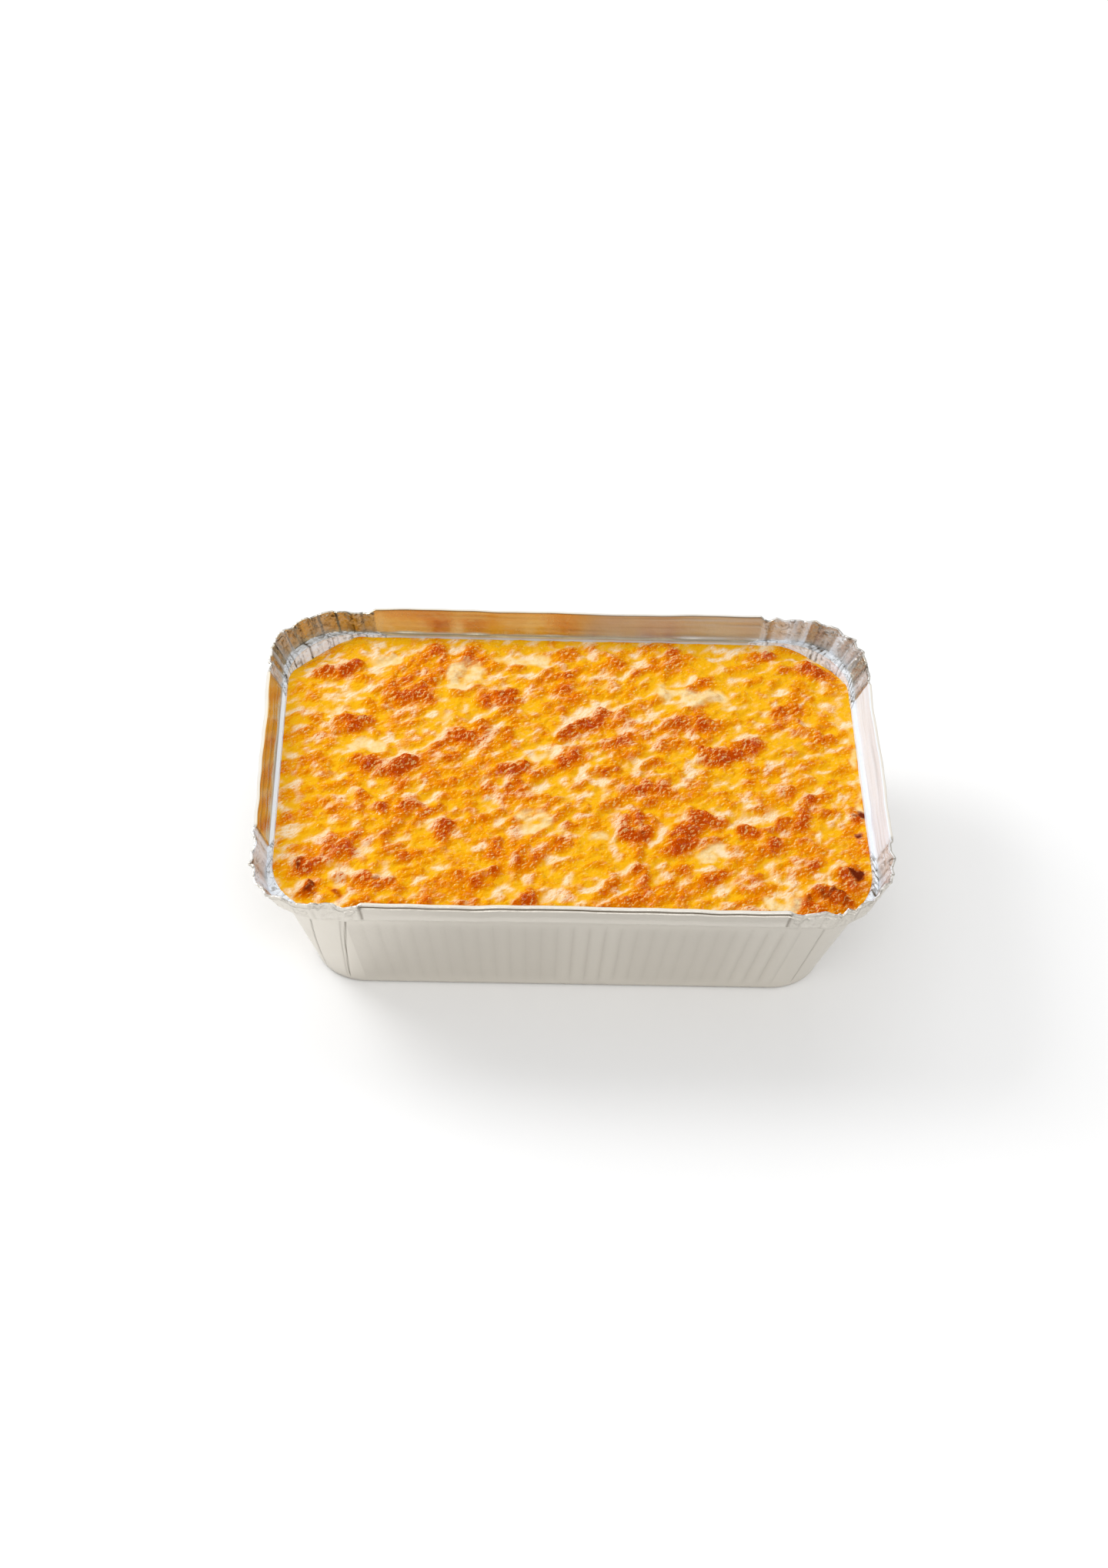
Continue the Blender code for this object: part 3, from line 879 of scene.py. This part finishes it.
def strand_map(grid, count, seed, lengths, widths):
    """Fine strands of cheese, mostly lying one way: 1 along a strand's spine."""
    draw = random.Random(seed)
    total = np.zeros_like(grid[0])
    for _ in range(count):
        cx = draw.uniform(-STREW_X, STREW_X)
        cy = draw.uniform(-STREW_Y, STREW_Y)
        length = draw.uniform(*lengths)
        width = draw.uniform(*widths)
        turn = draw.gauss(SHRED_TURN, SHRED_SPREAD)
        bend = draw.uniform(-25, 25)
        height = draw.uniform(0.45, 1)
        part, x, y = window(grid, cx, cy, length * 0.6)
        distance = capsule(x, y, cx, cy, length, width, turn, bend)
        total[part] = np.maximum(total[part], height * np.sqrt(np.clip(1 - distance**2, 0, 1)))
    return total


def blister_map(grid, browning, count, seed):
    """Small bubbles, crowded where the crust is browned."""
    draw = random.Random(seed)
    total = np.zeros_like(grid[0])
    for _ in range(count):
        cx = draw.uniform(-STREW_X, STREW_X)
        cy = draw.uniform(-STREW_Y, STREW_Y)
        radius = draw.uniform(*BLISTER_RADII) * MM
        keep = float(sample(browning, np.array(cx), np.array(cy)))
        if draw.random() > 0.15 + keep:
            continue
        part, x, y = window(grid, cx, cy, radius)
        distance = np.hypot(x - cx, y - cy) / radius
        rise = radius * np.clip(1 - distance**2, 0, 1)
        total[part] = np.maximum(total[part], rise)
    return total


def spots_map(grid, spots, power=1.0):
    """Soft spots or patches: (x, y, length, width, turn, strength)."""
    total = np.zeros_like(grid[0])
    for cx, cy, length, width, turn, strength in spots:
        part, x, y = window(grid, cx * MM, cy * MM, length * MM + WARP_REACH)
        distance = capsule(x, y, cx * MM, cy * MM, length * MM, width * MM, turn)
        mark = strength * np.clip(1 - distance**2, 0, 1) ** power
        total[part] = np.maximum(total[part], mark)
    return total


def curd_map(grid, count, seed):
    """Crowded soft lumps, the grated cheese melted together: 1 at the top of the tallest."""
    draw = random.Random(seed)
    total = np.zeros_like(grid[0])
    for _ in range(count):
        cx = draw.uniform(-STREW_X, STREW_X)
        cy = draw.uniform(-STREW_Y, STREW_Y)
        length = draw.uniform(*CURD_LENGTHS) * MM
        width = length * draw.uniform(0.5, 0.95)
        turn = draw.gauss(SHRED_TURN, 60)
        height = draw.uniform(0.35, 1)
        part, x, y = window(grid, cx, cy, length)
        distance = capsule(x, y, cx, cy, length, width, turn)
        total[part] = np.maximum(total[part], height * np.clip(1 - distance**2, 0, 1))
    return total


def speck_spots(count, seed):
    """Small browned spots between the mounds, in millimetres, each of its own size and strength."""
    draw = random.Random(seed)
    made = []
    for _ in range(count):
        length = draw.uniform(*SPECK_LENGTHS)
        width = length * draw.uniform(0.45, 0.9)
        turn = draw.gauss(SHRED_TURN, 45)
        cx, cy = draw.uniform(-SPECK_X, SPECK_X), draw.uniform(-SPECK_Y, SPECK_Y)
        made.append((cx, cy, length, width, turn, draw.uniform(0.15, 0.7)))
    return made


def mound_spots():
    """Browning on the mounds, in millimetres: on top, and shifted a little down the near right
    flank as painted shade.
    """
    made = []
    for x, y, length, width, turn, _, browning in MOUNDS:
        share = FRONT_BROWNING if y < FRONT_ROW else 1
        made.append((x + 1.4, y - 1.6, length + 0.5, width + 1, turn, browning * share))
    return made


def shred_spots(seed):
    """Browning on the larger shreds, in millimetres, placed likewise and weaker."""
    draw = random.Random(seed)
    made = []
    for cx, cy, length, width, turn, _ in solid_shreds():
        x, y = cx / MM + 0.8, cy / MM - 0.9
        made.append((x, y, length / MM, width / MM + 1, turn, draw.uniform(0.05, 0.6)))
    return made


def flank_map(relief, softness):
    """How steeply the smoothed relief faces the back left, and less than 0 where it faces away."""
    slope_x, slope_y = np.gradient(blur(relief, softness), MAP_CELL)
    return slope_x - slope_y


def crust_maps():
    """The crust's height, browning with painted shade, pale pools, burnt spots, and pale cheese
    with painted highlights, each as a flat map.
    """
    plain = map_grid()
    grid = warped(plain)
    shape = plain[0].shape
    form = form_map(grid)
    streaks = grain(shape, 31, 1.8 * MM, 0.8 * MM, SHRED_TURN)
    mottle = grain(shape, 32, 0.9 * MM)
    patchy = grain(shape, 39, 1.9 * MM, 1.3 * MM, SHRED_TURN)
    broad = grain(shape, 36, 4.5 * MM)
    fine = grain(shape, 33, 0.45 * MM)
    pools = spots_map(grid, [(*pool, 1.0) for pool in POOLS], 0.7)
    pools = blur(pools, 0.7 * MM)
    pools = smoothstep((pools * (1.1 + 0.45 * patchy + 0.35 * mottle) - 0.15) / 0.9)
    curds = blur(curd_map(plain, CURDS, 38), 0.2 * MM)
    strands = strand_map(plain, STRANDS, 34, STRAND_LENGTHS, STRAND_WIDTHS)
    tops = spots_map(grid, mound_spots() + shred_spots(37) + speck_spots(SPECKS, 29), 0.8)
    halo = blur(tops, 2.0 * MM)
    tops = blur(tops, 0.6 * MM)
    high = (form - blur(form, 5 * MM)) / MM
    patches = np.clip(1 + 0.25 * patchy + 0.2 * mottle, 0.1, 1.8)
    brown_and_shade = 0.12 + 0.36 * tops * patches + 0.38 * halo + 0.12 * high
    brown_and_shade += 0.35 * (curds - 0.4) * tops
    brown_and_shade += 0.07 * streaks + 0.08 * mottle + 0.1 * patchy + 0.09 * broad - 0.35 * pools
    burnt = spots_map(grid, [(x + 1.2, y - 1.3, 1.2 * d, 1.2 * d, 0, s) for x, y, d, s in BURNT])
    burnt = np.clip(burnt * (0.9 + 0.35 * mottle + 0.3 * fine), 0, 1)
    blisters = blister_map(plain, np.clip(brown_and_shade - 0.25, 0, 1), BLISTERS, 35)
    calm = 1 - 0.65 * pools
    lumps = (0.45 + 0.5 * brown_and_shade) * MM * curds
    relief = form + calm * (lumps + 0.3 * MM * strands + 0.1 * MM * streaks + 0.8 * blisters)
    relief += 0.12 * MM * mottle * calm + 0.25 * MM * patchy * calm + 0.04 * MM * fine
    # Painted shade browns the near right flanks deeper; pale cheese shows on strands, and painted
    # highlights pale the far left flanks
    flank = flank_map(relief, 1.1 * MM)
    brown_and_shade = np.clip(brown_and_shade - 0.42 * np.clip(flank, -0.6, 0.9), 0, 1)
    pale = 0.6 * strands * np.clip(1 - 1.5 * tops, 0, 1)
    pale += 0.5 * np.clip(flank_map(relief, 0.35 * MM), -0.5, 1)
    pale += 0.7 * np.clip(flank, -0.5, 0.9) - 0.15 * streaks + 0.3 * mottle
    pale = pale - 0.25 * patchy + 0.22 * grain(shape, 44, 1.5 * MM)
    pale = smoothstep((pale - 0.12) / 1.0) * np.clip(1.6 - brown_and_shade, 0, 0.85)
    return {"relief": relief, "brown_and_shade": brown_and_shade, "pools": pools, "burnt": burnt, "pale": pale}


def crust_sink(x, y):
    """How far the crust sinks near each corner of the tray."""
    sink = np.zeros_like(x)
    corner_x = RIM_LENGTH / 2 - LEAN_ENDS - LEDGE_WIDTH
    corner_y = RIM_WIDTH / 2 - LEAN_SIDES - LEDGE_WIDTH
    for side_x, side_y, depth in CORNER_SINKS:
        away = np.hypot(x - side_x * corner_x, y - side_y * corner_y)
        sink += depth * smoothstep((SINK_REACH - away) / (SINK_REACH - SINK_FULL))
    return sink


def round_corners(x, y, level):
    """Bends the square corners of a grid into the outline's arcs, leaving the rest as it is."""
    radius = level["r"]
    over_x = np.maximum(np.abs(x) - (level["x"] - radius), 0)
    over_y = np.maximum(np.abs(y) - (level["y"] - radius), 0)
    keep_x = np.sqrt(1 - (over_y / radius) ** 2 / 2)
    keep_y = np.sqrt(1 - (over_x / radius) ** 2 / 2)
    return x - np.sign(x) * over_x * (1 - keep_x), y - np.sign(y) * over_y * (1 - keep_y)


def meal_level(z):
    """The meal's outline at one height, or at many."""
    level = wall_outline(z)
    by = FOIL + CONTACT
    return outline(level["x"] - by, level["y"] - by, level["r"] - by, z)


def build_crust(look, maps):
    """The crust's mesh: a fine grid on top, and plain sides down to the base."""
    u, v = np.meshgrid(
        np.linspace(-1, 1, CRUST_ALONG + 1), np.linspace(-1, 1, CRUST_ACROSS + 1), indexing="ij"
    )
    flat = meal_level(MEAL_EDGE)
    sink = crust_sink(*round_corners(u * flat["x"], v * flat["y"], flat))
    level = meal_level(MEAL_EDGE - sink)
    x, y = round_corners(u * level["x"], v * level["y"], level)
    from_edge = (1 - np.maximum(np.abs(u), np.abs(v))) * flat["y"]
    inland = smoothstep(from_edge / RELIEF_FADE)
    dome = DOME * (1 - u**2) * (1 - v**2)
    relief = sample(maps["relief"], x, y)
    z = MEAL_EDGE - sink + dome + relief * (0.25 + 0.75 * inland)
    top = np.stack((x, y, z), axis=-1).reshape(-1, 3)
    number = np.arange(u.size).reshape(u.shape)
    quads = np.stack((number[:-1, :-1], number[1:, :-1], number[1:, 1:], number[:-1, 1:]), axis=-1)
    faces = quads.reshape(-1, 4).tolist()
    border = np.concatenate(
        (number[:-1, 0], number[-1, :-1], number[:0:-1, -1], number[0, :0:-1])
    )
    flat_u, flat_v = u.ravel()[border], v.ravel()[border]
    rings = [border]
    points = [top]
    for height, shrink in ((31 * MM, 0), (2.1 * MM, 0), (0.9 * MM, FOOT_BEVEL)):
        side = inset(meal_level(height), shrink)
        ring_x, ring_y = round_corners(flat_u * side["x"], flat_v * side["y"], side)
        rings.append(np.arange(len(border)) + sum(len(group) for group in points))
        points.append(np.stack((ring_x, ring_y, np.full(len(border), height)), axis=-1))
    for upper, lower in zip(rings, rings[1:]):
        band = np.stack((lower, np.roll(lower, -1), np.roll(upper, -1), upper), axis=-1)
        faces += band.tolist()
    faces.append(rings[-1][::-1].tolist())
    crust = mesh_object("cheese_crust", np.concatenate(points), faces, look, SOFT_CRUST)
    sides = 3 * len(border)
    for name in ("brown_and_shade", "pools", "burnt", "pale"):
        values = sample(maps[name], x, y).ravel()
        add_attribute(crust, name, np.concatenate((values, np.zeros(sides))))
    return crust


def grain_height(tree, shift):
    """Height of the crowded grains, about 1 mm across, at a place that is shifted a little."""
    place = add_node(tree, "ShaderNodeTexCoord")
    moved = add_node(tree, "ShaderNodeMapping", vector_type="TEXTURE")
    moved.inputs["Location"].default_value = -shift
    moved.inputs["Rotation"].default_value = (0, 0, math.radians(SHRED_TURN))
    moved.inputs["Scale"].default_value = GRAIN_STRETCH
    tree.links.new(place.outputs["Object"], moved.inputs["Vector"])
    cells = add_node(tree, "ShaderNodeTexVoronoi", feature="F1")
    cells.inputs["Scale"].default_value = 1 / GRAIN_CELL
    tree.links.new(moved.outputs[0], cells.inputs["Vector"])
    noise = add_node(tree, "ShaderNodeTexNoise")
    noise.inputs["Scale"].default_value = 1 / GRAIN_NOISE
    noise.inputs["Detail"].default_value = 4
    noise.inputs["Roughness"].default_value = 0.62
    tree.links.new(moved.outputs[0], noise.inputs["Vector"])
    domes = calc(tree, "MULTIPLY", cells.outputs["Distance"], cells.outputs["Distance"])
    return calc(tree, "MULTIPLY_ADD", domes, -0.4, noise.outputs["Fac"])


def crust_material():
    made, tree, shader = new_material("browned cheese")
    brown_and_shade = attribute(tree, "brown_and_shade")
    burnt = attribute(tree, "burnt")
    # Painted light on each grain: a painted highlight on its far left flank, and painted shade, as
    # deeper browning, on its near right flank
    here = grain_height(tree, Vector((0, 0, 0)))
    beyond = grain_height(tree, GRAIN_SHIFT)
    slope = calc(tree, "SUBTRACT", here, beyond)
    grainy = calc(tree, "ADD", brown_and_shade, 0.34)
    slope = calc(tree, "MULTIPLY", slope, grainy)
    brown_and_grain_shade = calc(tree, "MULTIPLY_ADD", slope, -1.7, brown_and_shade)
    browned = calc(tree, "MAXIMUM", brown_and_grain_shade, calc(tree, "MULTIPLY", burnt, 1.1), clamp=True)
    colour = ramp(tree, browned, [(place, srgb(tone)) for place, tone in BROWNING])
    patchy = calc(tree, "MULTIPLY", noise_node(tree, 1.5 * MM, detail=4), 1.6)
    pools = calc(tree, "MULTIPLY", attribute(tree, "pools"), patchy, clamp=True)
    colour = mix_colour(tree, pools, colour, srgb(POOL_CREAM))
    # Pale cheese, with painted highlights on far left flanks, broken up by the grains' painted
    # light and shade
    pale = mix_colour(tree, brown_and_shade, srgb(PALE_CHEESE_AND_HIGHLIGHT), srgb(PALE_BROWNED_AND_HIGHLIGHT))
    grain_light = calc(tree, "MULTIPLY_ADD", slope, 9.0, 1.0)
    pale_and_highlight_share = calc(tree, "MULTIPLY", attribute(tree, "pale"), grain_light, clamp=True)
    colour = mix_colour(tree, pale_and_highlight_share, colour, pale)
    # The painted highlight on each grain's far left flank
    painted_highlight_share = calc(tree, "MULTIPLY_ADD", slope, 9.0, -0.6, clamp=True)
    highlight_colour = mix_colour(tree, brown_and_shade, srgb(PAINTED_HIGHLIGHT), srgb(PAINTED_HIGHLIGHT_ON_BROWN))
    colour = mix_colour(tree, painted_highlight_share, colour, highlight_colour)
    dark = calc(tree, "MULTIPLY_ADD", burnt, 1.6, -0.5, clamp=True)
    colour = mix_colour(tree, dark, colour, srgb(BURNT_BROWN))
    tree.links.new(colour, shader.inputs["Base Color"])
    gloss = noise_node(tree, 1.6 * MM, detail=3)
    roughness = calc(tree, "MULTIPLY_ADD", gloss, 0.2, 0.1)
    tree.links.new(roughness, shader.inputs["Roughness"])
    shader.inputs["Specular IOR Level"].default_value = 0.01
    shader.inputs["Specular Tint"].default_value = (1.0, 0.85, 0.6, 1.0)
    # Oil stands in small drops and films
    oil = calc(tree, "MULTIPLY_ADD", noise_node(tree, 1.3 * MM, detail=3), 8.0, -4.4)
    oil = calc(tree, "SUBTRACT", oil, calc(tree, "MULTIPLY", burnt, 2.0), clamp=True)
    tree.links.new(oil, shader.inputs["Coat Weight"])
    shader.inputs["Coat Roughness"].default_value = 0.08
    height = calc(tree, "MULTIPLY", here, grainy)
    normal = bump(tree, height, CRUST_BUMP)
    tree.links.new(normal, shader.inputs["Normal"])
    return made


# The setting


def build_floor():
    made, _, shader = new_material("pale floor")
    shader.inputs["Base Color"].default_value = (FLOOR_GREY, FLOOR_GREY, FLOOR_GREY, 1)
    shader.inputs["Roughness"].default_value = 0.9
    shader.inputs["Specular IOR Level"].default_value = 0.1
    half = FLOOR_HALF
    corners = np.array(((-half, -half, 0), (half, -half, 0), (half, half, 0), (-half, half, 0)))
    floor = mesh_object("floor", corners - (0, 0, FLOOR_DROP), [(0, 1, 2, 3)], made, SHARP_FOLD)


def add_light(name, azimuth, elevation, distance, size, power):
    """A soft light that faces the tray. azimuth 90 is behind the tray and 180 on its left."""
    lamp = bpy.data.lights.new(name, "AREA")
    lamp.shape = "SQUARE"
    lamp.size = size
    lamp.energy = power
    made = bpy.data.objects.new(name, lamp)
    a, e = math.radians(azimuth), math.radians(elevation)
    away = Vector((math.cos(a) * math.cos(e), math.sin(a) * math.cos(e), math.sin(e)))
    made.location = away * distance
    made.rotation_euler = away.to_track_quat("Z", "Y").to_euler()
    bpy.context.scene.collection.objects.link(made)


def add_world(strength):
    world = bpy.data.worlds.new("soft room")
    bpy.context.scene.world = world
    world.use_nodes = True
    background = world.node_tree.nodes["Background"]
    background.inputs["Color"].default_value = (1, 1, 1, 1)
    background.inputs["Strength"].default_value = strength


def add_camera():
    camera = bpy.data.cameras.new("camera")
    camera.lens = CAMERA_LENS
    camera.sensor_width = 36
    camera.clip_end = 20
    made = bpy.data.objects.new("camera", camera)
    a, e = math.radians(CAMERA_AZIMUTH), math.radians(CAMERA_ELEVATION)
    back = Vector((math.sin(a) * math.cos(e), -math.cos(a) * math.cos(e), math.sin(e)))
    right = (-back).cross(Vector((0, 0, 1))).normalized()
    up = back.cross(right)
    facing = Matrix((right, up, back)).transposed().to_4x4()
    roll = Matrix.Rotation(math.radians(CAMERA_ROLL), 4, "Z")
    place = CAMERA_AIMS_AT + back * CAMERA_DISTANCE
    made.matrix_world = Matrix.Translation(place) @ facing @ roll
    bpy.context.scene.collection.objects.link(made)
    bpy.context.scene.camera = made


def main():
    foil = build_foil(foil_material())
    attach(foil, "root")
    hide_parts("tray")
    crust = build_crust(crust_material(), crust_maps())
    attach(crust, "root")
    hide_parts("meal")
    build_floor()
    for light in LIGHTS:
        add_light(*light)
    add_world(ROOM_LIGHT)
    add_camera()
    scene = bpy.context.scene
    scene.view_settings.view_transform = "Standard"
    scene.view_settings.look = "None"


main()
